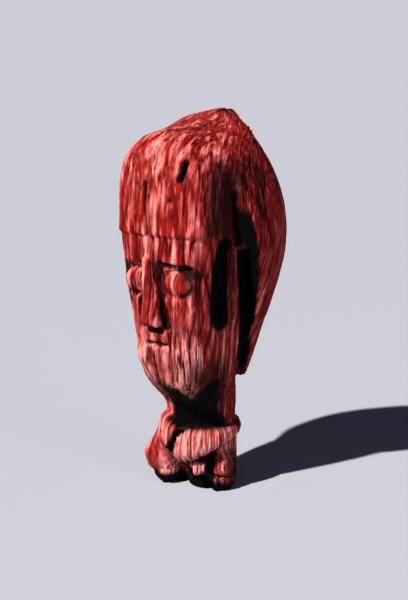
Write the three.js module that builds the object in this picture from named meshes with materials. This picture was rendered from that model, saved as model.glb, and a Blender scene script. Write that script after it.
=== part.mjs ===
// A god's head carved from one oak log, 260 mm tall: a long schematic face under a slanting cap,
// a mass of hair behind it, deep hollow ears, and a thick neck ring over a broken foot. The head
// is one solid. It faces -Y, its own left is +X, it stands on z = 0, and the neck's axis is the
// Z axis. All sizes are millimetres.
import * as THREE from "three";
import { mergeVertices } from "three/addons/utils/BufferGeometryUtils.js";

// The block, and the levels that the carver cut to
const height = 260;
const hairline = 181;
const browLevel = 162.5;
const eyeLevel = 151;
const noseLevel = 121;
const mouthLevel = 106.5;
const chinLevel = 80.5;
const ringTop = 46;

// Cap and crown: the top slopes down to the forehead, sags a little and falls away to both sides
const crownPeakY = 27;
const crownRise = 4.75;
const crownSlope = 0.26;
const crownFall = 0.0087;
const crownSag = 3.6;
const crownSagY = -6;
const crownSagReach = 32;
const crownRounds = [10, 5.5];
const crownRoundYs = [-30, 5];
const capHalfWidth = 38.8;
const capFront = 58;
const capSquareness = 4.5;
const capBellyLevel = 195;
const capBellyFall = 0.0028;
const capBellyMost = 8;

// Face: half its width at the forehead and at the chin, and how square its plan is
const faceHalfWidth = 37.8;
const chinHalfWidth = 28.5;
const chinMost = 1.2;
const chinCurve = 2.6;
const faceFront = 56.2;
const chinSetBack = 3.5;
const faceSquareness = 4.5;
const chinSquareness = 2.2;
const faceOverlap = 4;
const faceBack = 12;
const jawBack = -8;
const jawBackLevels = [62, 118];
const jawRound = 6;
const throatSlope = 0.8;
const throatY = -50;
const throatTilt = 0.3;
const throatTiltEnd = 8;
const throatRound = 5;

// Hair: a tapering mass behind the ears that ends in a blunt edge over the nape
const hairHalfWidth = 54.3;
const hairMidLevel = 178;
const hairSideRise = 80;
const hairBackRise = 106;
const hairBackReach = 51;
const hairMiddleY = 5;
const hairDomeCurve = 0.75;
const hairSideRound = 7;
const hairBackRound = 9;
const napeLevel = 74;
const napeHalfWidth = 23.5;
const napeBack = 33;
const napeRound = 3;
const sideTaper = 0.346;
const backTaper = 0.3;
const flapFrontY = -22;
const flapNapeY = 20;
const flapTurnLevel = 200;
const flapRound = 4;
const hairJoinLevels = [205, 235];
const hairJoinRounds = [2.5, 14];

// Neck, ring and foot
const neckRadius = 23;
const neckY = -3;
const neckTop = 110;
const neckFoot = 26;
const ringReachBack = 3.4;
const ringReachFront = 7;
const ringRightShare = 0.6;
const ringHalfHeightBack = 4.2;
const ringHalfHeightFront = 9;
const ringSquareness = 3.2;
const ringInset = 8;
const ringLift = 8;
const footRadius = 17;
const footY = 10;
const footTop = 34;
const footWaves = [1.1, 0.8];

// The lathe blank: how many faces around and how its columns crowd towards the face
const columns = 80;
const columnCrowding = 0.5;
const blankRadius = 78;
const highCentre = 196;
const searchStep = 0.75;
const halvings = 18;

const mix = (a, b, t) => a + (b - a) * t;
const clamp01 = (t) => Math.min(Math.max(t, 0), 1);
const ramp = (from, to, v) => {
  const t = clamp01((v - from) / (to - from));
  return t * t * (3 - 2 * t);
};

// Solids are functions that are negative in the wood, in millimetres or nearly so.
// Joining and cutting leave a fillet of about the given radius.
function join(a, b, fillet) {
  const near = Math.max(fillet - Math.abs(a - b), 0) / fillet;
  return Math.min(a, b) - (near * near * fillet) / 4;
}
const meet = (a, b, fillet) => -join(-a, -b, fillet);
const cut = (wood, tool, fillet) => meet(wood, -tool, fillet);

const ellipsoid = (x, y, z, [cx, cy, cz], [hx, hy, hz]) =>
  (Math.hypot((x - cx) / hx, (y - cy) / hy, (z - cz) / hz) - 1) * Math.min(hx, hy, hz);

// A rounded bar from one point to another, with a radius at each end
function bar(x, y, z, [ax, ay, az], [bx, by, bz], startRadius, endRadius) {
  const run = [bx - ax, by - ay, bz - az];
  const along = (x - ax) * run[0] + (y - ay) * run[1] + (z - az) * run[2];
  const t = clamp01(along / (run[0] ** 2 + run[1] ** 2 + run[2] ** 2));
  const gap = Math.hypot(x - ax - run[0] * t, y - ay - run[1] * t, z - az - run[2] * t);
  return gap - mix(startRadius, endRadius, t);
}

// A block whose plan is a rounded rectangle about the axis: squareness 2 is an ellipse
const roundedPlan = (x, y, halfWidth, halfDepth, squareness) =>
  (Math.pow(
    Math.pow(Math.abs(x) / halfWidth, squareness) + Math.pow(Math.abs(y) / halfDepth, squareness),
    1 / squareness,
  ) - 1) * halfWidth;

function crown(x, y, z) {
  const sag = crownSag * Math.max(1 - ((y - crownSagY) / crownSagReach) ** 2, 0);
  const level = height + crownRise + crownSlope * (y - crownPeakY) - crownFall * x * x - sag;
  return (z - level) / Math.hypot(1, crownSlope);
}

function cap(x, y, z) {
  const belly = Math.min(capBellyFall * Math.max(z - capBellyLevel, 0) ** 2, capBellyMost);
  const plan = roundedPlan(x, y, capHalfWidth - belly, capFront - belly, capSquareness);
  return Math.max(plan, hairline - z, y - faceBack);
}

function face(x, y, z) {
  const fall = (hairline - z) / (hairline - chinLevel);
  const down = clamp01(fall);
  const narrowing = Math.min(Math.max(fall, 0), chinMost) ** chinCurve;
  const halfWidth = mix(faceHalfWidth, chinHalfWidth, narrowing);
  const front = faceFront - chinSetBack * down ** 4;
  const squareness = mix(chinSquareness, faceSquareness, (1 - down) ** 2);
  const plan = roundedPlan(x, y, halfWidth, front, squareness);
  const tilted = throatTilt * Math.min(x, throatTiltEnd);
  const throatLevel = chinLevel - throatSlope * (y - throatY) - tilted;
  const throat = (throatLevel - z) / Math.hypot(1, throatSlope, throatTilt);
  const back = y - mix(jawBack, faceBack, ramp(...jawBackLevels, z));
  const block = Math.max(plan, z - hairline - faceOverlap);
  return meet(meet(block, back, jawRound), throat, throatRound);
}

function hair(x, y, z) {
  const upSide = Math.max(z - hairMidLevel, 0) / hairSideRise;
  const upBack = Math.max(z - hairMidLevel, 0) / hairBackRise;
  const domeSide = hairHalfWidth * Math.max(1 - upSide ** 2, 0.001) ** hairDomeCurve;
  const domeBack = hairBackReach * Math.max(1 - upBack ** 2, 0.001) ** hairDomeCurve;
  const sideLine = napeHalfWidth + sideTaper * (z - napeLevel);
  const backLine = napeBack - hairMiddleY + backTaper * (z - napeLevel);
  const halfWidth = join(domeSide, sideLine, hairSideRound);
  const reach = join(domeBack, backLine, hairBackRound);
  const behind = Math.max(y - hairMiddleY, 0);
  const mass = (Math.hypot(x / halfWidth, behind / reach) - 1) * halfWidth;
  const fall = clamp01((flapTurnLevel - z) / (flapTurnLevel - napeLevel));
  const edgeY = mix(flapFrontY, flapNapeY, fall);
  return meet(meet(mass, edgeY - y, flapRound), napeLevel - z, napeRound);
}

// The ear: a deep upright hollow with a thin rim, and the black furrow between rim and hair
const earMiddle = [39, -28, 147.5];
const earHalf = [13, 9.5, 30];
const earSquareness = 3.2;
function earHollow(x, y, z) {
  const across = (Math.abs(x) - earMiddle[0]) / earHalf[0];
  const deep = (y - earMiddle[1]) / earHalf[1];
  const up = (Math.abs(z - earMiddle[2]) / earHalf[2]) ** (earSquareness / 2);
  return (Math.hypot(across, deep, up) - 1) * earHalf[1];
}
const rimTop = [36.5, -18, 170];
const rimFoot = [36, -18, 124];
function earRim(x, y, z) {
  return bar(Math.abs(x), y, z, rimTop, rimFoot, 2.4, 1.6);
}
const furrowTop = [41, -20, 208];
const furrowMiddle = [39.5, -9.5, 168];
const furrowFoot = [31, 2, 96];
function earFurrow(x, y, z) {
  const upper = bar(Math.abs(x), y, z, furrowTop, furrowMiddle, 2.5, 6.2);
  const lower = bar(Math.abs(x), y, z, furrowMiddle, furrowFoot, 6.2, 5.5);
  return Math.min(upper, lower);
}

const socketMiddle = [16.8, -57, eyeLevel - 0.4];
const socketHalf = [14, 8.5, 12.2];
function eyeSocket(x, y, z) {
  return ellipsoid(Math.abs(x), y, z, socketMiddle, socketHalf);
}
const eyeballMiddle = [16.4, -46.6, eyeLevel - 1.6];
const eyeballHalf = [12.2, 8.7, 10.2];
function eyeball(x, y, z) {
  return ellipsoid(Math.abs(x), y, z, eyeballMiddle, eyeballHalf);
}

// The nose leans a little: its top and its tip stand to one side of each other
const noseTopX = -3.8;
const noseTipX = 0;
const noseHalfWidths = [4.4, 6];
const noseRidges = [58, 62.6];
const noseFlare = 0.25;
const noseRoot = 44;
const noseTipRound = 4;
const noseDown = (z) => clamp01((browLevel - z) / (browLevel - noseLevel));
const offNose = (x, z) => Math.abs(x - mix(noseTopX, noseTipX, noseDown(z)));
function nose(x, y, z) {
  const down = noseDown(z);
  const ridge = mix(...noseRidges, down);
  const flare = noseFlare * (y + ridge);
  const side = (offNose(x, z) - mix(...noseHalfWidths, down) - flare) / Math.hypot(1, noseFlare);
  const wedge = meet(meet(side, -ridge - y, 1.6), y + noseRoot, 1);
  return meet(meet(wedge, noseLevel - z, noseTipRound), z - browLevel - 3, 3);
}
const grooveTop = [7.2, -56.5, eyeLevel + 9];
const grooveMiddle = [7.4, -55, eyeLevel - 4];
const grooveFoot = [9.4, -54.5, noseLevel + 1];
const grooveRadii = [3.2, 2, 3.2];
function cheekGroove(x, y, z) {
  const off = offNose(x, z);
  const upper = bar(off, y, z, grooveTop, grooveMiddle, grooveRadii[0], grooveRadii[1]);
  const lower = bar(off, y, z, grooveMiddle, grooveFoot, grooveRadii[1], grooveRadii[2]);
  return Math.min(upper, lower);
}
const mouthRight = [-9, -57, mouthLevel + 2];
const mouthLeft = [14, -57, mouthLevel + 2];
const mouthRadius = 2;
const mouthBow = 0.014;
function mouthSlit(x, y, z) {
  return bar(x, y + mouthBow * x * x, z, mouthRight, mouthLeft, mouthRadius, mouthRadius);
}
const lipMiddle = [-1, -48.6, mouthLevel - 7];
const lipHalf = [15, 8, 9.2];
function lips(x, y, z) {
  return ellipsoid(x, y, z, lipMiddle, lipHalf);
}

function neck(x, y, z) {
  return Math.max(Math.hypot(x, y - neckY) - neckRadius, z - neckTop, neckFoot - z);
}

// The ring thickens from the nape to two great ends that meet in front; the right-hand end
// rides higher and hangs down to the foot.
function ring(x, y, z) {
  const out = Math.hypot(x, y - neckY);
  const frontness = (1 - (y - neckY) / Math.max(out, 1)) / 2;
  const halfHeight = ringHalfHeightBack + ringHalfHeightFront * frontness ** 3;
  const rightShare = mix(1, ringRightShare, ramp(-6, -18, x));
  const reach = (ringReachBack + ringReachFront * frontness ** 2) * rightShare;
  const lift = ringLift * ramp(4, -14, x) * frontness;
  const middle = ringTop + lift - halfHeight;
  const depth = reach + ringInset;
  const across = Math.abs(out - neckRadius + ringInset) / depth;
  const up = Math.abs(z - middle) / halfHeight;
  const section = (across ** ringSquareness + up ** ringSquareness) ** (1 / ringSquareness);
  return (section - 1) * Math.min(depth, halfHeight);
}
const hangingTop = [-12, -21, 42];
const hangingFoot = [-22, -17.5, 20];
function hangingEnd(x, y, z) {
  return bar(x, y, z, hangingTop, hangingFoot, 7, 12.6);
}
const splitTop = [9, -31.5, 54];
const splitFoot = [-6, -34, 24];
function ringSplit(x, y, z) {
  return bar(x, y, z, splitTop, splitFoot, 1.2, 4.4);
}
// The gap under the left-hand end, where it stands off the neck
const undercutFront = [16, -23.5, 25];
const undercutSide = [22.5, -15, 31];
function ringUndercut(x, y, z) {
  return bar(x, y, z, undercutFront, undercutSide, 3, 1.6);
}

// The foot is the log's broken end: a core, rounded chunks around it, and between two of them a
// splinter, a wedge that split off along the grain and points down
const rightChunk = { middle: [-23, -10, 15], half: [11, 12, 18] };
const frontChunk = { middle: [-18.5, -17.5, 11], half: [7.5, 9, 10.5] };
const leftChunk = { middle: [20.5, -8.5, 11], half: [8.5, 11, 15.5] };
const base = { middle: [8, -6, 3], half: [13, 10.5, 12] };
const cleftTop = [17.7, -19.3, 26];
const cleftFoot = [16.6, -15.2, 0];
const cleftRadius = 3;
const splitTurn = (36 * Math.PI) / 180;
const splinterTop = 22.3;
const splinterRight = 0.3;
const splinterFront = 29;
const splinterBack = 8;
const splinterCorner = [-10.5, 22];
const splinterPoint = [-5, 10.6];
const splinterLean = [5.5, -11.4];
const splinterUnder = [5.3, 4.4];

// How far a place lies outside a sloping edge, whose outer side is on the right of its run
const outsideEdge = (across, up, [fromX, fromZ], [runX, runZ]) =>
  ((across - fromX) * runZ - (up - fromZ) * runX) / Math.hypot(runX, runZ);

function splinter(x, y, z) {
  const aside = x * Math.cos(splitTurn) + y * Math.sin(splitTurn);
  const ahead = x * Math.sin(splitTurn) - y * Math.cos(splitTurn);
  const leftSide = outsideEdge(aside, z, splinterCorner, splinterLean);
  const underSide = outsideEdge(aside, z, splinterPoint, splinterUnder);
  const wedge = Math.max(leftSide, underSide, z - splinterTop, aside - splinterRight);
  return meet(wedge, Math.max(ahead - splinterFront, splinterBack - ahead), 1);
}

function foot(x, y, z) {
  const turn = Math.atan2(x, y - footY);
  const waves = footWaves[0] * Math.sin(3 * turn + 1) + footWaves[1] * Math.sin(7 * turn);
  const core = Math.max(Math.hypot(x, y - footY) - footRadius - waves, z - footTop);
  const lump = ({ middle, half }) => ellipsoid(x, y, z, middle, half);
  const behind = Math.min(lump(leftChunk), lump(rightChunk), lump(base), splinter(x, y, z));
  const chunks = join(behind, lump(frontChunk), 2);
  const cleft = bar(x, y, z, cleftTop, cleftFoot, cleftRadius, cleftRadius);
  return cut(join(core, chunks, 2), cleft, 1);
}

function wood(x, y, z) {
  const hairJoin = mix(...hairJoinRounds, ramp(...hairJoinLevels, z));
  let solid = join(cap(x, y, z), face(x, y, z), 0.5);
  solid = join(solid, hair(x, y, z), hairJoin);
  solid = meet(solid, crown(x, y, z), mix(...crownRounds, ramp(...crownRoundYs, y)));
  solid = cut(solid, earFurrow(x, y, z), 2);
  solid = cut(solid, earHollow(x, y, z), 1.5);
  solid = join(solid, earRim(x, y, z), 2);
  solid = join(solid, lips(x, y, z), 5);
  solid = cut(solid, eyeSocket(x, y, z), 1.5);
  solid = join(solid, eyeball(x, y, z), 1);
  solid = join(solid, nose(x, y, z), 1.5);
  solid = cut(solid, cheekGroove(x, y, z), 2);
  solid = cut(solid, mouthSlit(x, y, z), 1);
  const ringAndEnd = cut(join(ring(x, y, z), hangingEnd(x, y, z), 4), ringSplit(x, y, z), 1.5);
  const log = join(join(neck(x, y, z), foot(x, y, z), 2), ringAndEnd, 1.5);
  const below = cut(log, ringUndercut(x, y, z), 1);
  return Math.max(join(solid, below, 4), -z);
}

// Where the hair's front edge stands, as a turn from the face's middle, so that a column of the
// blank can run along it
const earTurn = 0.9;
const edgeColumnTurn = 1.4;
const edgeReach = 48;
const edgeReachLeast = 18;
function hairEdgeTurn(z) {
  const fall = clamp01((flapTurnLevel - z) / (flapTurnLevel - napeLevel));
  const edgeX = Math.min(edgeReach, napeHalfWidth - 3 + sideTaper * (z - napeLevel));
  const edgeY = mix(flapFrontY, flapNapeY, fall) + 1;
  const turn = Math.atan2(Math.max(edgeX, edgeReachLeast), -edgeY);
  return mix(edgeColumnTurn, turn, ramp(napeLevel - 20, napeLevel, z));
}
function columnTurn(turn, z) {
  const crowded = turn - columnCrowding * Math.sin(turn);
  const size = Math.abs(crowded);
  if (size < earTurn) return crowded;
  const edge = hairEdgeTurn(z);
  const swept =
    size < edgeColumnTurn
      ? mix(earTurn, edge, (size - earTurn) / (edgeColumnTurn - earTurn))
      : mix(edge, Math.PI, (size - edgeColumnTurn) / (Math.PI - edgeColumnTurn));
  return Math.sign(crowded) * swept;
}

// Rows of the blank: each band of levels has as many rows as its carving needs
const bands = [
  [0, 28, 6],
  [28, 52, 8],
  [52, 70, 3],
  [70, 82, 5],
  [82, 104, 4],
  [104, 113, 5],
  [113, 129, 5],
  [129, 140, 2],
  [140, 165, 10],
  [165, 178.6, 2],
  [178.6, 181.6, 2],
  [181.6, highCentre, 1],
];
const domeRows = 8;
const soleRings = 2;

function blankProfile() {
  const profile = [];
  for (let i = 0; i < soleRings; i++) profile.push(new THREE.Vector2((blankRadius * i) / soleRings, 0));
  for (const [from, to, rows] of bands)
    for (let i = 0; i < rows; i++) profile.push(new THREE.Vector2(blankRadius, mix(from, to, i / rows)));
  for (let i = 0; i <= domeRows; i++) {
    const up = (i / domeRows) * (Math.PI / 2);
    const radius = i === domeRows ? 0 : blankRadius * Math.cos(up);
    profile.push(new THREE.Vector2(radius, highCentre + blankRadius * Math.sin(up)));
  }
  return profile;
}

// Each point of the blank is pushed along its ray, from the axis outwards, to the outermost wood.
// The sole is flat: its rings are smaller copies of the foot's outline on the ground.
function carvedHead() {
  const blank = new THREE.LatheGeometry(blankProfile(), columns);
  blank.rotateX(Math.PI / 2);
  blank.deleteAttribute("normal");
  blank.deleteAttribute("uv");
  const geometry = mergeVertices(blank, 0.001);
  const points = geometry.getAttribute("position");
  const point = new THREE.Vector3();
  const centre = new THREE.Vector3();
  const direction = new THREE.Vector3();
  const probe = (distance) => {
    point.copy(centre).addScaledVector(direction, distance);
    return wood(point.x, point.y, point.z);
  };
  for (let i = 0; i < points.count; i++) {
    point.fromBufferAttribute(points, i);
    const turn = columnTurn(Math.atan2(point.x, -point.y), point.z);
    const radius = Math.hypot(point.x, point.y);
    const onSole = Math.abs(point.z) < 0.001;
    centre.set(0, 0, onSole ? 0 : Math.min(point.z, highCentre));
    direction.set(radius * Math.sin(turn), -radius * Math.cos(turn), onSole ? 0 : point.z - centre.z);
    direction.normalize();
    let outside = blankRadius * 1.3;
    while (outside > searchStep && probe(outside - searchStep) > 0) outside -= searchStep;
    let inside = outside - searchStep;
    for (let k = 0; k < halvings; k++) {
      const middle = (inside + outside) / 2;
      if (probe(middle) > 0) outside = middle;
      else inside = middle;
    }
    probe(onSole ? (inside * radius) / blankRadius : inside);
    points.setXYZ(i, point.x, point.y, point.z);
  }
  geometry.computeVertexNormals();
  return geometry;
}

const oak = new THREE.MeshStandardMaterial({ color: 0x8c3a30, roughness: 0.8, metalness: 0 });
const head = new THREE.Mesh(carvedHead(), oak);
head.name = "head";

const part = new THREE.Group();
part.add(head);
export default part;
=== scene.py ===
import math

import bmesh
import bpy
import numpy as np
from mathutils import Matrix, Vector, noise


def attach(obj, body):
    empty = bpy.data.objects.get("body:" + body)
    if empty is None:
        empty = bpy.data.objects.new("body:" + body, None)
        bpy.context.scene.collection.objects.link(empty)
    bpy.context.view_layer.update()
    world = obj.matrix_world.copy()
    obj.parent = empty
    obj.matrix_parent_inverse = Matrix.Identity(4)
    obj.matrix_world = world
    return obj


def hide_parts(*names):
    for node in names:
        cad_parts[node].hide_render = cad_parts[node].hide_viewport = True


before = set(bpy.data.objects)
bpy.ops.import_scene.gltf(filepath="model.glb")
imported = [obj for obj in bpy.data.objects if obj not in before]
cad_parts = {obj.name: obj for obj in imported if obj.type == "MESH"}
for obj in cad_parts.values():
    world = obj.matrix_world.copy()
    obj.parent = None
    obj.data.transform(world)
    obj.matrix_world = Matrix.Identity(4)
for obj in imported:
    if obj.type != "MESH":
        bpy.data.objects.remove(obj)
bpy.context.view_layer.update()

# The carved head
# A god's head cut from one oak log with knife and gouge, cap, face, hair, ring and foot in one
# piece. Long weathering has eaten the soft grain away and left hard ridges that run up the log.
MM = 0.001
height = 260
hairline = 181
brow_level = 162.5
eye_level = 151
nose_level = 121
mouth_level = 106.5
chin_level = 80.5
ring_top = 46


def mix(a, b, t):
    return a + (b - a) * t


def ramp(start, end, value):
    t = np.clip((value - start) / (end - start), 0, 1)
    return t * t * (3 - 2 * t)


# Each form below is a function that is negative inside the wood, in millimetres or nearly so.
# Joining two forms, or cutting one with another, leaves a fillet of about the radius given.
def join(a, b, fillet):
    near = np.maximum(fillet - np.abs(a - b), 0) / fillet
    return np.minimum(a, b) - near * near * fillet / 4


def meet(a, b, fillet):
    return -join(-a, -b, fillet)


def cut(wood, tool, fillet):
    return meet(wood, -tool, fillet)


def ellipsoid(x, y, z, centre, half):
    across = (x - centre[0]) / half[0]
    deep = (y - centre[1]) / half[1]
    up = (z - centre[2]) / half[2]
    return (np.sqrt(across * across + deep * deep + up * up) - 1) * min(half)


def bar(x, y, z, start, end, start_radius, end_radius):
    run = [end[i] - start[i] for i in range(3)]
    from_start = [x - start[0], y - start[1], z - start[2]]
    along = from_start[0] * run[0] + from_start[1] * run[1] + from_start[2] * run[2]
    t = np.clip(along / (run[0] ** 2 + run[1] ** 2 + run[2] ** 2), 0, 1)
    off = [from_start[i] - run[i] * t for i in range(3)]
    gap = np.sqrt(off[0] * off[0] + off[1] * off[1] + off[2] * off[2])
    return gap - mix(start_radius, end_radius, t)


def rounded_plan(x, y, half_width, half_depth, squareness):
    across = np.abs(x) / half_width
    deep = np.abs(y) / half_depth
    return ((across**squareness + deep**squareness) ** (1 / squareness) - 1) * half_width


# Cap and crown: a square-cut cap that overhangs the forehead, its top sloping back up to a peak
crown_peak_y = 27
crown_rise = 4.75
crown_sag = 3.6
crown_sag_y = -6
crown_sag_reach = 32
crown_slope = 0.26
crown_fall = 0.0087
crown_round_front = 10
crown_round_back = 5.5
cap_half_width = 38.8
cap_front = 58
cap_squareness = 4.5
cap_belly_level = 195
cap_belly_fall = 0.0028
cap_belly_most = 8
cap_back = 12


def crown(x, y, z):
    sag = crown_sag * np.maximum(1 - ((y - crown_sag_y) / crown_sag_reach) ** 2, 0)
    level = height + crown_rise + crown_slope * (y - crown_peak_y) - crown_fall * x * x - sag
    return (z - level) / math.hypot(1, crown_slope)


def cap(x, y, z):
    belly = np.minimum(cap_belly_fall * np.maximum(z - cap_belly_level, 0) ** 2, cap_belly_most)
    plan = rounded_plan(x, y, cap_half_width - belly, cap_front - belly, cap_squareness)
    return np.maximum(np.maximum(plan, hairline - z), y - cap_back)


# Face: a long flat block that narrows to the chin and loses its corners on the way down
face_half_width = 37.8
chin_half_width = 28.5
face_front = 56.2
face_squareness = 4.5
chin_squareness = 2.2
face_back = 12
jaw_back = -8
throat_slope = 0.8
throat_y = -50
throat_tilt = 0.3
throat_tilt_end = 8
throat_fillet = 5
face_front_fall = 3.5
face_side_bend = 2.6
face_overlap = 4
jaw_level = 62
cheek_level = 118
back_fillet = 6


def face(x, y, z):
    fall = (hairline - z) / (hairline - chin_level)
    down = np.clip(fall, 0, 1)
    half_width = mix(face_half_width, chin_half_width, np.clip(fall, 0, 1.2) ** face_side_bend)
    front = face_front - face_front_fall * down**4
    squareness = mix(chin_squareness, face_squareness, (1 - down) ** 2)
    plan = rounded_plan(x, y, half_width, front, squareness)
    tilted = throat_tilt * np.minimum(x, throat_tilt_end)
    throat_level = chin_level - throat_slope * (y - throat_y) - tilted
    throat = (throat_level - z) / math.hypot(1, throat_slope, throat_tilt)
    back = y - mix(jaw_back, face_back, ramp(jaw_level, cheek_level, z))
    block = meet(np.maximum(plan, z - hairline - face_overlap), back, back_fillet)
    return meet(block, throat, throat_fillet)


# Hair: a tapering mass behind the ears that ends in a blunt edge over the nape
hair_half_width = 54.3
hair_mid_level = 178
hair_side_rise = 80
hair_back_rise = 106
hair_back_reach = 51
hair_middle_y = 5
nape_level = 74
nape_half_width = 23.5
nape_back = 33
side_taper = 0.346
back_taper = 0.3
flap_front_y = -22
flap_nape_y = 20
flap_turn_level = 200
dome_bend = 0.75
side_fillet = 7
nape_side_fillet = 9
flap_fillet = 4
nape_fillet = 3


def hair(x, y, z):
    up_side = np.maximum(z - hair_mid_level, 0) / hair_side_rise
    up_back = np.maximum(z - hair_mid_level, 0) / hair_back_rise
    dome_side = hair_half_width * np.maximum(1 - up_side**2, 0.001) ** dome_bend
    dome_back = hair_back_reach * np.maximum(1 - up_back**2, 0.001) ** dome_bend
    side_line = nape_half_width + side_taper * (z - nape_level)
    back_line = nape_back - hair_middle_y + back_taper * (z - nape_level)
    half_width = -meet(-dome_side, -side_line, side_fillet)
    reach = -meet(-dome_back, -back_line, nape_side_fillet)
    behind = np.maximum(y - hair_middle_y, 0)
    mass = (np.sqrt((x / half_width) ** 2 + (behind / reach) ** 2) - 1) * half_width
    fall = np.clip((flap_turn_level - z) / (flap_turn_level - nape_level), 0, 1)
    edge_y = mix(flap_front_y, flap_nape_y, fall)
    return meet(meet(mass, edge_y - y, flap_fillet), nape_level - z, nape_fillet)


# Ears: deep upright hollows with a thin rim, and the black furrow between rim and hair
ear_centre = (39, -28, 147.5)
ear_half = (13, 9.5, 30)
ear_end_squareness = 3.2
rim_top = (36.5, -18, 170)
rim_foot = (36, -18, 124)
rim_top_radius = 2.4
rim_foot_radius = 1.6
furrow_top = (41, -20, 208)
furrow_bend = (39.5, -9.5, 168)
furrow_foot = (31, 2, 96)
furrow_top_radius = 2.5
furrow_bend_radius = 6.2
furrow_foot_radius = 5.5


def ear_hollow(x, y, z):
    across = (np.abs(x) - ear_centre[0]) / ear_half[0]
    deep = (y - ear_centre[1]) / ear_half[1]
    up = np.abs(z - ear_centre[2]) / ear_half[2]
    return (np.sqrt(across * across + deep * deep + up**ear_end_squareness) - 1) * min(ear_half)


def ear_rim(x, y, z):
    return bar(np.abs(x), y, z, rim_top, rim_foot, rim_top_radius, rim_foot_radius)


def ear_furrow(x, y, z):
    side_x = np.abs(x)
    upper = bar(side_x, y, z, furrow_top, furrow_bend, furrow_top_radius, furrow_bend_radius)
    lower = bar(side_x, y, z, furrow_bend, furrow_foot, furrow_bend_radius, furrow_foot_radius)
    return np.minimum(upper, lower)


# Eyes, nose and mouth are gouged into the face's flat front. The nose leans a little.
nose_top_x = -3.8
nose_tip_x = 0
nose_top_front = 58
nose_tip_front = 62.6
nose_top_half_width = 4.4
nose_tip_half_width = 6
nose_side_spread = 0.25
nose_root = 44
socket_centre = (16.8, -57, eye_level - 0.4)
socket_half = (14, 8.5, 12.2)
eyeball_centre = (16.4, -46.6, eye_level - 1.6)
eyeball_half = (12.2, 8.7, 10.2)
groove_top = (7.2, -56.5, eye_level + 9)
groove_bend = (7.4, -55, eye_level - 4)
groove_foot = (9.4, -54.5, nose_level + 1)
groove_radius = 3.2
groove_bend_radius = 2
mouth_bend = 0.014
mouth_radius = 2
mouth_start = (-9, -57, mouth_level + 2)
mouth_end = (14, -57, mouth_level + 2)
lips_centre = (-1, -48.6, mouth_level - 7)
lips_half = (15, 8, 9.2)


def nose_middle(z):
    down = np.clip((brow_level - z) / (brow_level - nose_level), 0, 1)
    return mix(nose_top_x, nose_tip_x, down)


def eye_socket(x, y, z):
    return ellipsoid(np.abs(x), y, z, socket_centre, socket_half)


def eyeball(x, y, z):
    return ellipsoid(np.abs(x), y, z, eyeball_centre, eyeball_half)


def nose(x, y, z):
    down = np.clip((brow_level - z) / (brow_level - nose_level), 0, 1)
    ridge = mix(nose_top_front, nose_tip_front, down)
    half_width = mix(nose_top_half_width, nose_tip_half_width, down) + nose_side_spread * (y + ridge)
    side = (np.abs(x - nose_middle(z)) - half_width) / 1.03
    wedge = meet(meet(side, -ridge - y, 1.6), y + nose_root, 1)
    return meet(meet(wedge, nose_level - z, 4), z - brow_level - 3, 3)


def cheek_groove(x, y, z):
    off = np.abs(x - nose_middle(z))
    upper = bar(off, y, z, groove_top, groove_bend, groove_radius, groove_bend_radius)
    lower = bar(off, y, z, groove_bend, groove_foot, groove_bend_radius, groove_radius)
    return np.minimum(upper, lower)


def mouth_slit(x, y, z):
    bent_y = y + mouth_bend * x * x
    return bar(x, bent_y, z, mouth_start, mouth_end, mouth_radius, mouth_radius)


def lips(x, y, z):
    return ellipsoid(x, y, z, lips_centre, lips_half)


# Neck, and a ring that thickens from the nape to two great ends that meet in front
neck_radius = 23
neck_y = -3
neck_top = 110
neck_foot = 26
ring_reach_back = 3.4
ring_reach_front = 7
ring_half_height_back = 4.2
ring_half_height_front = 9
ring_squareness = 3.2
ring_lift = 8
ring_right_share = 0.6
ring_inner = 8


def neck(x, y, z):
    round_wall = np.hypot(x, y - neck_y) - neck_radius
    return np.maximum(np.maximum(round_wall, z - neck_top), neck_foot - z)


def neck_ring(x, y, z):
    out = np.hypot(x, y - neck_y)
    frontness = (1 - (y - neck_y) / np.maximum(out, 1)) / 2
    half_height = ring_half_height_back + ring_half_height_front * frontness**3
    lift = ring_lift * ramp(4, -14, x) * frontness
    reach = ring_reach_back + ring_reach_front * frontness**2
    reach *= mix(1, ring_right_share, ramp(-6, -18, x))
    middle = ring_top + lift - half_height
    depth = reach + ring_inner
    across = np.abs(out - neck_radius + ring_inner) / depth
    up = np.abs(z - middle) / half_height
    section = (across**ring_squareness + up**ring_squareness) ** (1 / ring_squareness)
    return (section - 1) * np.minimum(depth, half_height)


def hanging_end(x, y, z):
    return bar(x, y, z, (-12, -21, 42), (-22, -17.5, 20), 7, 12.6)


def ring_split(x, y, z):
    return bar(x, y, z, (9, -31.5, 54), (-6, -34, 24), 1.2, 4.4)


def ring_undercut(x, y, z):
    return bar(x, y, z, (16, -23.5, 25), (22.5, -15, 31), 3, 1.6)


# Foot: the log's broken end, a core with a chunk at each side and a splinter between
foot_radius = 17
foot_y = 10
foot_top = 34
split_turn = math.radians(36)
cleft_radius = 3
splinter_top = 22.3
splinter_right_end = 0.3
splinter_front = 29
splinter_back = 8


def foot_cleft(x, y, z):
    return bar(x, y, z, (17.7, -19.3, 26), (16.6, -15.2, 0), cleft_radius, cleft_radius)


def splinter(x, y, z):
    aside = x * math.cos(split_turn) + y * math.sin(split_turn)
    ahead = x * math.sin(split_turn) - y * math.cos(split_turn)
    left_side = (5.5 * (22 - z) - 11.4 * (aside + 10.5)) / math.hypot(5.5, 11.4)
    under_side = (4.4 * (aside + 5) - 5.3 * (z - 10.6)) / math.hypot(4.4, 5.3)
    ends = np.maximum(z - splinter_top, aside - splinter_right_end)
    wedge = np.maximum(np.maximum(left_side, under_side), ends)
    return meet(wedge, np.maximum(ahead - splinter_front, splinter_back - ahead), 1)


def foot_base(x, y, z):
    return ellipsoid(x, y, z, (8, -6, 3), (13, 10.5, 12))


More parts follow.
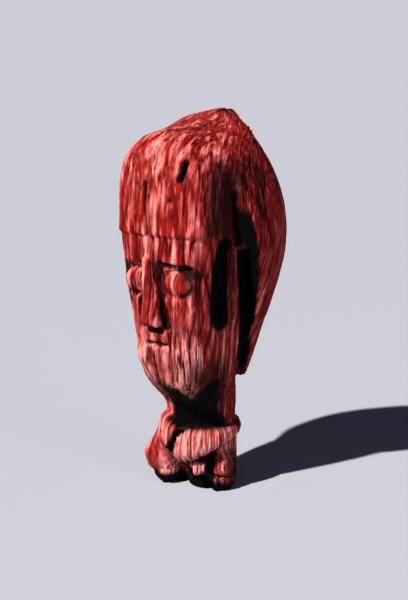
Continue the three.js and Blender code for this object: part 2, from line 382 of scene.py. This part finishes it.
def foot(x, y, z):
    turn = np.arctan2(x, y - foot_y)
    broken_radius = foot_radius + 1.1 * np.sin(3 * turn + 1) + 0.8 * np.sin(7 * turn)
    core = np.maximum(np.hypot(x, y - foot_y) - broken_radius, z - foot_top)
    right_chunk = ellipsoid(x, y, z, (-23, -10, 15), (11, 12, 18))
    front_chunk = ellipsoid(x, y, z, (-18.5, -17.5, 11), (7.5, 9, 10.5))
    left_chunk = ellipsoid(x, y, z, (20.5, -8.5, 11), (8.5, 11, 15.5))
    chunks = np.minimum(np.minimum(left_chunk, right_chunk), foot_base(x, y, z))
    chunks = join(np.minimum(chunks, splinter(x, y, z)), front_chunk, 2)
    whole = join(core, chunks, 2)
    return cut(whole, foot_cleft(x, y, z), 1)


def wood(x, y, z):
    solid = join(cap(x, y, z), face(x, y, z), 0.5)
    solid = join(solid, hair(x, y, z), mix(2.5, 14, ramp(205, 235, z)))
    solid = meet(solid, crown(x, y, z), mix(crown_round_front, crown_round_back, ramp(-30, 5, y)))
    solid = cut(solid, ear_furrow(x, y, z), 2)
    solid = cut(solid, ear_hollow(x, y, z), 1.5)
    solid = join(solid, ear_rim(x, y, z), 2)
    solid = join(solid, lips(x, y, z), 5)
    solid = cut(solid, eye_socket(x, y, z), 1.5)
    solid = join(solid, eyeball(x, y, z), 1)
    solid = join(solid, nose(x, y, z), 1.5)
    solid = cut(solid, cheek_groove(x, y, z), 2)
    solid = cut(solid, mouth_slit(x, y, z), 1)
    ring_and_end = join(neck_ring(x, y, z), hanging_end(x, y, z), 4)
    ring_and_end = cut(ring_and_end, ring_split(x, y, z), 1.5)
    below = join(join(neck(x, y, z), foot(x, y, z), 2), ring_and_end, 1.5)
    below = cut(below, ring_undercut(x, y, z), 1)
    return np.maximum(join(solid, below, 4), -z)


# The log with only its cap, face, hair and neck roughed out, before the finer cuts
def roughed_out(x, y, z):
    solid = join(cap(x, y, z), face(x, y, z), 0.5)
    solid = join(solid, hair(x, y, z), 8)
    solid = meet(solid, crown(x, y, z), mix(crown_round_front, crown_round_back, ramp(-30, 5, y)))
    ring_and_end = np.minimum(neck_ring(x, y, z), hanging_end(x, y, z))
    below = np.minimum(np.minimum(neck(x, y, z), foot(x, y, z)), ring_and_end)
    return np.maximum(join(solid, below, 4), -z)


# The blank is a round-topped post, spun from a profile. Its rows lie closest where the carving
# is finest.
columns = 480
rows_share = 1
blank_radius = 78
high_centre = 196
peak_lean = 0.42
row_bands = [
    (0, 28, 22),
    (28, 56, 24),
    (56, 80, 16),
    (80, 100, 14),
    (100, 166, 62),
    (166, 178, 8),
    (178, 184, 6),
    (184, high_centre, 8),
]
dome_rows = 40
sole_rings = 3

profile = [(blank_radius * ring / sole_rings, 0) for ring in range(sole_rings)]
for low, high, rows in row_bands:
    band_rows = max(1, round(rows * rows_share))
    profile += [(blank_radius, mix(low, high, row / band_rows)) for row in range(band_rows)]
top_rows = round(dome_rows * rows_share)
for row in range(top_rows + 1):
    rise = row / top_rows * math.pi / 2
    profile.append((blank_radius * math.cos(rise), high_centre + blank_radius * math.sin(rise)))

blank = bmesh.new()
row_number = blank.verts.layers.int.new("row_number")
profile_verts = [blank.verts.new((0, -radius, level)) for radius, level in profile]
for number, vert in enumerate(profile_verts):
    vert[row_number] = number
profile_edges = [blank.edges.new(pair) for pair in zip(profile_verts, profile_verts[1:])]
bmesh.ops.spin(
    blank,
    geom=profile_verts + profile_edges,
    cent=(0, 0, 0),
    axis=(0, 0, 1),
    angle=2 * math.pi,
    steps=columns,
    use_merge=True,
)
bmesh.ops.remove_doubles(blank, verts=blank.verts, dist=0.001)
bmesh.ops.recalc_face_normals(blank, faces=blank.faces)
blank.verts.ensure_lookup_table()
row_of = np.array([vert[row_number] for vert in blank.verts])
head_mesh = bpy.data.meshes.new("carved_head")
blank.to_mesh(head_mesh)
blank.free()

count = len(head_mesh.vertices)
blank_places = np.empty(count * 3)
head_mesh.vertices.foreach_get("co", blank_places)
blank_places = blank_places.reshape(-1, 3)
blank_out = np.hypot(blank_places[:, 0], blank_places[:, 1])
level = blank_places[:, 2]
even_turn = np.arctan2(blank_places[:, 0], -blank_places[:, 1])
on_sole = level < 0.001


def rays_from(turn, level):
    """Where each point's ray starts on the log's axis, and which way it points. The top's rays
    lean back, so that they meet at the crown's peak."""
    rise = np.arcsin(np.clip((level - high_centre) / blank_radius, 0, 1))
    ahead = -np.cos(rise) * np.cos(turn) + peak_lean * np.sin(rise) ** 3
    ray = np.stack([np.cos(rise) * np.sin(turn), ahead, np.sin(rise)], axis=1)
    ray /= np.linalg.norm(ray, axis=1)[:, None]
    centre = np.zeros_like(ray)
    centre[:, 2] = np.minimum(level, high_centre)
    return centre, ray


def reach_of(form, centre, ray):
    """How far out along each ray the form's outermost wood lies: first closing in from outside,
    then halving."""
    shortest_step = 0.3
    outside = np.full(len(ray), blank_radius * 1.3)
    inside = outside.copy()
    searching = np.arange(len(ray))
    while len(searching):
        place = centre[searching] + ray[searching] * inside[searching][:, None]
        gap = form(*place.T)
        in_air = (gap > 0) & (inside[searching] > 1)
        searching = searching[in_air]
        outside[searching] = inside[searching]
        inside[searching] -= np.maximum(0.6 * gap[in_air], shortest_step)
    for halving in range(10):
        middle = (inside + outside) / 2
        in_air = form(*(centre + ray * middle[:, None]).T) > 0
        outside = np.where(in_air, middle, outside)
        inside = np.where(in_air, inside, middle)
    return inside


centre, ray = rays_from(even_turn, level)
reach = reach_of(wood, centre, ray)
reach = np.where(on_sole, reach * blank_out / blank_radius, reach)
places = centre + ray * reach[:, None]


def slope_of(form, places):
    """The form's value at each place, and the way and steepness with which it grows."""
    nudge = 0.05
    here = form(*places.T)
    slope = np.empty_like(places)
    for axis in range(3):
        moved = places.copy()
        moved[:, axis] += nudge
        slope[:, axis] = (form(*moved.T) - here) / nudge
    return here, slope


def settle(places, depth, held):
    """Moves each place straight to where the wood's value is minus its depth."""
    furthest = 1.0
    here, slope = slope_of(wood, places)
    steep = np.maximum((slope * slope).sum(axis=1), 0.2)
    step = -(here + depth) / steep
    step = np.clip(step * np.sqrt(steep), -furthest, furthest) / np.sqrt(steep)
    step[held] = 0
    return places + slope * step[:, None]


# The points of each row are spread evenly along the carved wood, closer on the face than behind,
# so that the walls of the ears and the furrows get their share.
grid = np.full((len(profile), columns), -1)
column_of = np.rint(even_turn / (2 * math.pi) * columns).astype(int) % columns
grid[row_of, column_of] = np.arange(count)
full_rows = grid[(grid >= 0).all(axis=1) & (np.array([p[1] for p in profile]) > 0)]
back_thinning = 1.8
for spreading in range(3):
    loops = places[full_rows]
    closed = np.concatenate([loops, loops[:, :1]], axis=1)
    pieces = np.linalg.norm(np.diff(closed, axis=1), axis=2)
    middle_y = (closed[:, 1:, 1] + closed[:, :-1, 1]) / 2
    pieces /= mix(1, back_thinning, ramp(-25, 30, middle_y))
    run = np.concatenate([np.zeros((len(loops), 1)), np.cumsum(pieces, axis=1)], axis=1)
    for number, loop in enumerate(closed):
        wanted = np.arange(columns) / columns * run[number, -1]
        for axis in range(3):
            loops[number, :, axis] = np.interp(wanted, run[number], loop[:, axis])
    places[full_rows] = loops
    places = settle(places, 0, on_sole)
    places = settle(places, 0, on_sole)

edge_ends = np.empty(len(head_mesh.edges) * 2, int)
head_mesh.edges.foreach_get("vertices", edge_ends)
edge_a, edge_b = edge_ends.reshape(-1, 2).T
neighbours = np.bincount(edge_ends, minlength=count)
smoothing_share = 0.8
for smoothing in range(12):
    pulled = np.empty_like(places)
    for axis in range(3):
        from_b = np.bincount(edge_a, places[edge_b, axis], count)
        from_a = np.bincount(edge_b, places[edge_a, axis], count)
        pulled[:, axis] = (from_a + from_b) / neighbours
    pulled[on_sole] = places[on_sole]
    places = settle(mix(places, pulled, smoothing_share), 0, on_sole)

# The grain runs up the log and over the crown to its peak, and follows the roughed-out form, so a
# deep cut shows other streaks than the surface does. A ridge is about 3 mm wide on the face and
# finer on the neck.
grain_radius = 57
neck_grain_radius = 40
crown_run = 60
place_out = np.hypot(places[:, 0], places[:, 1])
above = places - (0, 0, high_centre)
place_rise = np.where(above[:, 2] > 0, np.arctan2(above[:, 2], place_out), 0)
place_turn = np.arctan2(places[:, 0], -places[:, 1])
lean = peak_lean * np.sin(place_rise) ** 3 * np.linalg.norm(above, axis=1)
leaned_turn = np.arctan2(places[:, 0], -(places[:, 1] - lean))
place_turn = np.where(above[:, 2] > 0, leaned_turn, place_turn)
place_level = np.minimum(places[:, 2], high_centre)
rough_level = np.where(above[:, 2] > 0, high_centre + blank_radius * np.sin(place_rise), places[:, 2])
rough_reach = reach_of(roughed_out, *rays_from(place_turn, rough_level))
own_reach = np.where(above[:, 2] > 0, np.linalg.norm(above, axis=1), place_out)
depth_share = mix(1, own_reach / np.maximum(rough_reach, 5), 0.4)
grain_out = mix(neck_grain_radius, grain_radius, ramp(60, 84, places[:, 2]))
grain_out *= np.clip(depth_share, 0.1, 1.3) * np.sqrt(np.cos(place_rise) + 0.0004)
grain = np.stack(
    [
        grain_out * np.sin(place_turn),
        -grain_out * np.cos(place_turn),
        place_level + crown_run * place_rise,
    ],
    axis=1,
)


def grain_noise(width, length, start):
    """Noise whose lumps are width mm across the grain and length mm along it."""
    lumps = grain / (width, width, length) + start
    return np.array([noise.noise(lump) for lump in lumps.tolist()])


# Weathering, as a depth below the carved wood: grooves between the ridges, open fissures, small
# chips, and the foot's broken end. The ridge tops stand a little proud of the carved form.
wander = 1.2 * grain_noise(14, 24, 3.7)
grain[:, 0] += wander * np.cos(place_turn)
grain[:, 1] += wander * np.sin(place_turn)
x, y, z = places.T
on_cap = ramp(hairline - 2, hairline + 2, z)
on_foot = ramp(34, 20, z)
ridge_noise = grain_noise(4.6, 44, 0.0)
fine_noise = grain_noise(2.3, 20, 11.3)
fissure_noise = grain_noise(10, 120, 23.9)
fissure_place = grain_noise(16, 40, 31.1)
main_groove = np.clip(1 - np.abs(ridge_noise) / 0.2, 0, 1) ** 1.2
main_groove *= 0.65 + 0.35 * np.clip(2.5 * grain_noise(12, 30, 47.3), -1, 1)
fine_groove = np.clip(1 - np.abs(fine_noise) / 0.26, 0, 1) ** 1.3
fissure = np.clip(1 - np.abs(fissure_noise) / 0.07, 0, 1) * ramp(0.12, 0.4, fissure_place)
chips = np.clip(grain_noise(2.6, 4.5, 71.7), 0, 1)
broken_end = 2.2 * np.abs(grain_noise(7, 9, 91.7)) + 1.1 * np.abs(grain_noise(3.2, 6, 97.9))
face_groove_depth = 1.0
cap_groove_depth = 0.55
fine_groove_depth = 0.45
fissure_depth = 1.6
chip_depth = 0.5
swell = 0.6
ridge_stand = 0.7
worn = mix(face_groove_depth, cap_groove_depth, on_cap) * main_groove
worn += fine_groove_depth * fine_groove + fissure_depth * fissure + chip_depth * chips
worn += swell * grain_noise(26, 26, 5.2) - ridge_stand + on_foot * (broken_end - 0.6)

# Cracks, holes and knife cuts: each runs between two places, with its half width and its depth
marks = {
    "crack up the cap": ((-4, -57, 182), (-6.5, -57, 216), 1.0, 2.6),
    "slanted hole in the cap": ((24, -52, 231), (21.2, -55.5, 218), 1.4, 5),
    "short crack over the hole": ((13.8, -51, 238), (14, -54, 226), 0.8, 1.6),
    "chip in the cap": ((11, -58, 204.6), (15.5, -58, 205.6), 1.1, 1.4),
    "pit in the crown": ((9, -13, 251), (13, -13, 251), 2.2, 1.5),
    "brow cut": ((4.5, -56, 162), (28, -52, 160), 1.4, 2.2),
    "lower lid, inner end": ((7, -54, 143), (13, -56, 140), 0.7, 1.1),
    "lower lid, middle": ((13, -56, 140), (23, -54, 141), 0.8, 1.3),
    "lower lid, outer end": ((23, -54, 141), (30.5, -50, 149), 0.9, 1.6),
    "nostrils": ((-4, -57, 118.5), (6, -57, 118), 2.0, 2.2),
    "mouth": ((-10, -56, 108.8), (14, -55, 108.4), 0.9, 1.8),
    "pit in the chin": ((-7.7, -52.2, 98), (-7.5, -52.2, 97), 1.1, 1.4),
    "fissure by the chin": ((16.2, -47.6, 97), (13.5, -44.5, 81), 0.9, 1.6),
    "ring end, inner line": ((0.5, -32.5, 40), (2.5, -31.5, 24), 0.7, 1.4),
    "pit at the ring's lower corner": ((2.4, -27, 23), (2, -26, 19), 1.6, 2.4),
}
scar = np.zeros(count)
waver = 0.5 * grain_noise(3, 7, 83.1)
for start, end, half_width, depth in marks.values():
    off_line = bar(x, y, z, start, end, 0, 0) + waver
    scar = np.maximum(scar, depth * ramp(half_width * 1.7, half_width * 0.5, off_line))
worn += scar
form_slope = slope_of(wood, places)[1]
facing = form_slope / np.linalg.norm(form_slope, axis=1)[:, None]
for carving in range(4):
    places = settle(places, worn, on_sole)
places[:, 2] = np.maximum(places[:, 2], 0)
head_mesh.vertices.foreach_set("co", (places * MM).astype(np.float32).ravel())
head_mesh.shade_smooth()


def keep(name, values):
    """Stores one value for each point of the head, for its material to read."""
    attribute = head_mesh.attributes.new(name, "FLOAT", "POINT")
    attribute.data.foreach_set("value", values.astype(np.float32))


# The wood is pale on the ridge tops, and palest on the chin, the ring, the foot and the cap's corner.
# It is redder on the nose and on the sides. The pale ridge tops are partly bleached wood and partly
# painted highlight, and the pale lip ledge and ear rims are painted highlights.
x, y, z = places.T
side_x = np.abs(x)
in_front = ramp(-30, -44, y)
pale_chin = 0.72 * ramp(126, 100, z) * in_front
pale_face = 0.3 * ramp(hairline + 2, hairline - 2, z) * in_front
pale_below = 0.5 * ramp(52, 46, z)
pale_corner = 0.35 * ramp(12, -6, x) * ramp(205, 220, z) * in_front
bleached_splinter = 1.2 * (1 - ramp(0.5, 2, splinter(x, y, z)))
# Painted highlights along the lip's ledge and on the ear rims.
lip_highlight = 0.7 * (1 - ramp(0.4, 1.8, bar(x, y, z, (-7, -56, 106), (14, -55, 105.6), 0, 0)))
rim_highlight = 0.8 * (1 - ramp(0, 1.2, ear_rim(x, y, z)))
pale = pale_chin + pale_face + pale_below + pale_corner
pale += bleached_splinter + lip_highlight + rim_highlight
pale -= 0.2 * (1 - ramp(0, 1.5, nose(x, y, z))) + 0.3 * ramp(30, 38, side_x)
# Paler ridge tops: partly bleached wood, partly painted highlight.
ridge_top = np.clip((np.abs(ridge_noise) - 0.16) / 0.22, 0, 1)
streaks = grain_noise(3.4, 36, 57.1) + 0.7 * grain_noise(22, 60, 63.3)
pale_and_highlight = 0.6 * ridge_top + 0.95 * streaks - 0.26 + pale
keep("pale_and_highlight", np.clip(pale_and_highlight, 0, mix(1, 0.75, on_cap)))
groove = mix(mix(0.7, 1, ramp(90, 125, z)), 0.6, on_cap) * main_groove + 0.45 * fine_groove
# The cracks, holes and cuts darken a little more, as painted shade in them.
groove += fissure + 0.4 * scar
keep("groove", np.clip(groove, 0, 1))

# Near-black: partly old dirt, mostly painted shade. The ears, the furrows and the gaps in the ring
# and the foot hold dirt and painted shade. Painted shadow lies on the hair's front wall behind the
# ears and on the neck under the chin. Painted shade lies under the jaw, the throat, the ring and the
# foot, on the shaded sides of the cap, the hair and a foot chunk, in the creases round the eyes and
# the nose, and in the deepest cuts.
# The ears, the furrows, the ring's undercut and split and the foot's cleft go black, fading out past
# their edges: partly old dirt, partly painted shade in the hollows.
hollow_dark_fade = 3.2
hollows = [ear_hollow, ear_furrow, ring_undercut, foot_cleft]
hollow_gap = np.min([hollow(x, y, z) for hollow in hollows], axis=0)
hollow_gap = np.minimum(hollow_gap, ring_split(x, y, z) + 1)
off_rim = ramp(0.6, 2.2, ear_rim(x, y, z))
in_hollow = (1 - ramp(1, hollow_dark_fade, hollow_gap)) * off_rim
# Painted shadow on the hair's front-facing walls behind the ears and behind the face.
faces_front = ramp(0.45, 0.75, -facing[:, 1]) * ramp(nape_level + 2, nape_level + 8, z)
hair_wall = faces_front * np.maximum(ramp(36, 39, side_x) * ramp(-24, -20, y), ramp(-6, 0, y))
# Painted shade in the crease under the ring, where it meets the neck and the foot.
ring_middle = ring_top - 2 * ring_half_height_back - 1
ring_gap = np.maximum(neck_ring(x, y, z), np.minimum(neck(x, y, z), foot(x, y, z)))
below_ring = (1 - ramp(1, 3.6, ring_gap)) * ramp(ring_middle, ring_middle - 4, z)
neck_turn = np.degrees(np.arctan2(x, neck_y - y))
above_ring = ramp(ring_top - 3, ring_top, z)
shadow_turn = mix(84, 64, ramp(48, 60, z))
black_level = mix(70, 84, ramp(20, 50, neck_turn))
black_reach = mix(33, 50, ramp(56, 64, z))
# Painted shadow of the chin, cast across the front of the neck down to the ring.
chin_shadow = ramp(-26, -12, neck_turn) * ramp(8, -8, neck_turn - shadow_turn)
chin_shadow *= ramp(3, -3, place_out - black_reach)
chin_shadow *= ramp(6, -6, z - black_level) * above_ring
# Painted shade under the jaw and on the throat where it faces down.
under_jaw = 0.7 * ramp(10, 35, neck_turn) * ramp(80, 62, neck_turn) * ramp(104, 84, z) * above_ring
throat = ramp(0.45, 0.7, -facing[:, 2]) * ramp(84, 78, z) * ramp(62, 66, z) * ramp(-14, 2, x)
# Painted shade on the down-facing foot, round its base and on the side of its left chunk turned away
# from the lamp.
under_foot = ramp(13, 8, z) * ramp(0, -0.3, facing[:, 2])
chunk_side = x * math.cos(split_turn) + y * math.sin(split_turn)
base_shade = ramp(14, 10, z) * ramp(9, 6, chunk_side) * (1 - ramp(0.8, 2.5, foot_base(x, y, z)))
chunk_shade = 0.7 * ramp(14, 20, chunk_side) * ramp(26, 18, z)
# Painted shade in the creases round the eyeballs, in the grooves beside the nose and under the outer
# ends of the brows.
eye_crease = np.abs(eye_socket(x, y, z)) + np.abs(eyeball(x, y, z))
eye_crease = 0.9 * (1 - ramp(0.8, 2.6, eye_crease))
beside_nose = 0.9 * (1 - ramp(-0.2, 0.7, cheek_groove(x, y, z)))
lid_corner = 0.9 * (1 - ramp(0, 2, bar(side_x, y, z, (24, -53, 161), (31, -49, 155), 1.5, 3)))
# Painted shade on the cap's sides, and painted shadow on the hair behind them where the furrows
# start.
cap_side = 0.75 * ramp(33, 37, side_x) * ramp(44, 41, side_x) * ramp(-50, -42, y) * ramp(8, -4, y)
cap_side *= ramp(hairline - 3, hairline + 1, z) * ramp(238, 218, z)
hair_shade = 0.75 * (1 - ramp(3, 13, bar(side_x, y, z, (43, 0, 217), (42, -13, 188), 0, 0)))
fold_shade = 0.85 * (1 - ramp(4, 10, bar(side_x, y, z, (41, -19, 216), (41, -17, 194), 0, 0)))
# The darkest of these painted shades and dirt marks wins.
shade_and_soot_parts = [in_hollow, hair_wall, below_ring, chin_shadow, under_jaw, throat, under_foot]
shade_and_soot_parts += [base_shade, chunk_shade, hair_shade, fold_shade, eye_crease, beside_nose, lid_corner]
# The deepest cuts and holes go black, as painted shade.
shade_and_soot_parts += [cap_side, ramp(0.8, 2.5, scar)]
keep("painted_shade_and_soot", np.max(shade_and_soot_parts, axis=0))
grain_attribute = head_mesh.attributes.new("grain", "FLOAT_VECTOR", "POINT")
grain_attribute.data.foreach_set("vector", grain.astype(np.float32).ravel())
head_mesh.update()

head = bpy.data.objects.new("carved_head", head_mesh)
bpy.context.scene.collection.objects.link(head)


def colour(code):
    """An sRGB hex colour as the linear values that Blender's shaders use."""
    parts = [int(code[i : i + 2], 16) / 255 for i in (0, 2, 4)]
    linear = [c / 12.92 if c <= 0.04045 else ((c + 0.055) / 1.055) ** 2.4 for c in parts]
    return (*linear, 1)


def add(tree, kind, settings=None, **inputs):
    """Adds one node with its settings, and sets or links its inputs by name."""
    made = tree.nodes.new(kind)
    for name, value in (settings or {}).items():
        setattr(made, name, value)
    for name, value in inputs.items():
        socket = made.inputs[name.replace("_", " ")]
        if isinstance(value, bpy.types.NodeSocket):
            tree.links.new(value, socket)
        else:
            socket.default_value = value
    return made


# Weathered oak, dry and unvarnished: dark sunken grooves, red-brown wood and pale ridges that are
# partly dusty and partly painted highlight, and last near-black painted shade and dirt
oak = bpy.data.materials.new("weathered_oak")
oak.use_nodes = True
tree = oak.node_tree
tree.nodes.clear()
output = add(tree, "ShaderNodeOutputMaterial")
groove_read = add(tree, "ShaderNodeAttribute", {"attribute_name": "groove"})
pale_and_highlight_read = add(tree, "ShaderNodeAttribute", {"attribute_name": "pale_and_highlight"})
shade_and_soot_read = add(tree, "ShaderNodeAttribute", {"attribute_name": "painted_shade_and_soot"})
grain_read = add(tree, "ShaderNodeAttribute", {"attribute_name": "grain"})
fibre_width = 1.5
fibre_length = 18
fleck_width = 1.9
fleck_length = 9
pore_darkness = 0.7
fibre_height = 1.6 * MM
fibre_place = add(
    tree,
    "ShaderNodeMapping",
    Vector=grain_read.outputs["Vector"],
    Scale=(1 / fibre_width, 1 / fibre_width, 1 / fibre_length),
)
fibre = add(
    tree,
    "ShaderNodeTexNoise",
    Vector=fibre_place.outputs["Vector"],
    Scale=1,
    Detail=3,
    Roughness=0.6,
)
fleck_place = add(
    tree,
    "ShaderNodeMapping",
    Vector=grain_read.outputs["Vector"],
    Scale=(1 / fleck_width, 1 / fleck_width, 1 / fleck_length),
    Location=(7, 3, 5),
)
fleck = add(
    tree,
    "ShaderNodeTexNoise",
    Vector=fleck_place.outputs["Vector"],
    Scale=1,
    Detail=2,
    Roughness=0.5,
)
pore_share = add(tree, "ShaderNodeMapRange", Value=fibre.outputs["Fac"])
pore_share.inputs["From Min"].default_value = 0.5
pore_share.inputs["From Max"].default_value = 0.32
fleck_share = add(tree, "ShaderNodeMapRange", Value=fleck.outputs["Fac"])
fleck_share.inputs["From Min"].default_value = 0.5
fleck_share.inputs["From Max"].default_value = 0.8
fleck_share.inputs["To Max"].default_value = 0.6
# Paleness: bleached wood and random flecks, with painted highlights on the ridge tops, the lip and
# the ear rims.
pale_share = add(tree, "ShaderNodeMath", {"operation": "ADD", "use_clamp": True})
tree.links.new(pale_and_highlight_read.outputs["Fac"], pale_share.inputs[0])
tree.links.new(fleck_share.outputs["Result"], pale_share.inputs[1])
dark_share = add(tree, "ShaderNodeMath", {"operation": "MULTIPLY_ADD", "use_clamp": True})
tree.links.new(pore_share.outputs["Result"], dark_share.inputs[0])
dark_share.inputs[1].default_value = pore_darkness
tree.links.new(groove_read.outputs["Fac"], dark_share.inputs[2])
ridge_colour = add(tree, "ShaderNodeValToRGB", Fac=pale_share.outputs["Value"])
ridge_stops = ridge_colour.color_ramp.elements
ridge_stops[0].color = colour("9c221b")
ridge_stops[1].color = colour("f0a298")
ridge_stops.new(0.75).color = colour("e2817a")
wood_colour = add(tree, "ShaderNodeMix", {"data_type": "RGBA"}, Factor=dark_share.outputs["Value"])
tree.links.new(ridge_colour.outputs["Color"], wood_colour.inputs[6])
wood_colour.inputs[7].default_value = colour("520504")
# Mixes the wood towards near-black: painted shade, and dirt in the hollows.
shade_and_soot_mixed = add(tree, "ShaderNodeMix", {"data_type": "RGBA"}, Factor=shade_and_soot_read.outputs["Fac"])
tree.links.new(wood_colour.outputs[2], shade_and_soot_mixed.inputs[6])
shade_and_soot_mixed.inputs[7].default_value = colour("060202")
bump = add(
    tree,
    "ShaderNodeBump",
    Height=fibre.outputs["Fac"],
    Distance=fibre_height,
    Strength=1,
)
wood_shader = add(
    tree,
    "ShaderNodeBsdfPrincipled",
    Base_Color=shade_and_soot_mixed.outputs[2],
    Normal=bump.outputs["Normal"],
    Roughness=0.7,
    Specular_IOR_Level=0.15,
)
tree.links.new(wood_shader.outputs["BSDF"], output.inputs["Surface"])
head_mesh.materials.append(oak)
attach(head, "root")
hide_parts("head")

# The floor
# A wide sheet of pale, cool background paper, laid flat and reaching far out on every side.
floor_mesh = bpy.data.meshes.new("paper_floor")
sheet = bmesh.new()
floor_half = 45
bmesh.ops.create_grid(sheet, x_segments=1, y_segments=1, size=floor_half)
sheet.to_mesh(floor_mesh)
sheet.free()
floor = bpy.data.objects.new("paper_floor", floor_mesh)
bpy.context.scene.collection.objects.link(floor)
paper = bpy.data.materials.new("background_paper")
paper.use_nodes = True
paper_shader = paper.node_tree.nodes["Principled BSDF"]
paper_shader.inputs["Base Color"].default_value = colour("b4b5b9")
paper_shader.inputs["Roughness"].default_value = 0.9
paper_shader.inputs["Specular IOR Level"].default_value = 0
floor_mesh.materials.append(paper)

# The light
# One far lamp, high on the viewer's left, makes the clear shadow. A wide soft lamp on the right
# and a weak cool sky fill it. The camera sees a pale backdrop where the floor ends.
key_turn = math.radians(10)
key_height = math.radians(45)
lamp_distance = 2.5
key_travel = Vector(
    (
        math.cos(key_height) * math.sin(key_turn),
        math.cos(key_height) * math.cos(key_turn),
        -math.sin(key_height),
    )
)
key_data = bpy.data.lights.new("key", "SUN")
key_data.angle = math.radians(1.6)
key_data.energy = 6.3
key = bpy.data.objects.new("key", key_data)
key.location = -lamp_distance * key_travel
key.rotation_euler = key_travel.to_track_quat("-Z", "Y").to_euler()
bpy.context.scene.collection.objects.link(key)
fill_data = bpy.data.lights.new("fill", "AREA")
fill_aim = Vector((0, 0, 0.12))
fill_data.size = 0.7
fill_data.energy = 9
fill_data.color = colour("d8dcf0")[:3]
fill = bpy.data.objects.new("fill", fill_data)
fill.location = (1.3, -0.35, 0.16)
fill.rotation_euler = (fill_aim - fill.location).to_track_quat("-Z", "Y").to_euler()
bpy.context.scene.collection.objects.link(fill)
world = bpy.data.worlds.new("sky")
world.use_nodes = True
sky = world.node_tree
sky_light = sky.nodes["Background"]
sky_light.inputs["Color"].default_value = colour("aca4d4")
sky_light.inputs["Strength"].default_value = 0.15
backdrop = add(sky, "ShaderNodeBackground", Color=colour("adafb7"), Strength=1)
seen_by = add(sky, "ShaderNodeLightPath")
sky_mix = add(sky, "ShaderNodeMixShader", Fac=seen_by.outputs["Is Camera Ray"])
sky.links.new(sky_light.outputs["Background"], sky_mix.inputs[1])
sky.links.new(backdrop.outputs["Background"], sky_mix.inputs[2])
sky.links.new(sky_mix.outputs["Shader"], sky.nodes["World Output"].inputs["Surface"])
bpy.context.scene.world = world
bpy.context.scene.view_settings.view_transform = "Standard"
bpy.context.scene.view_settings.gamma = 0.78

# The camera
# It stands 1.1 m away towards the head's own left, a little above the crown, and looks down.
view_turn = math.radians(36)
away = Vector((-math.sin(view_turn), math.cos(view_turn), 0))
view_distance = 1.1
view_height = 0.345
aim_height = 0.129
camera_data = bpy.data.cameras.new("camera")
camera_data.lens = 97.6
camera_data.sensor_width = 36
camera = bpy.data.objects.new("camera", camera_data)
camera.location = Vector((0, 0, view_height)) - view_distance * away
aim = Vector((0, 0, aim_height)) - camera.location
camera.rotation_euler = aim.to_track_quat("-Z", "Y").to_euler()
bpy.context.scene.collection.objects.link(camera)
bpy.context.scene.camera = camera
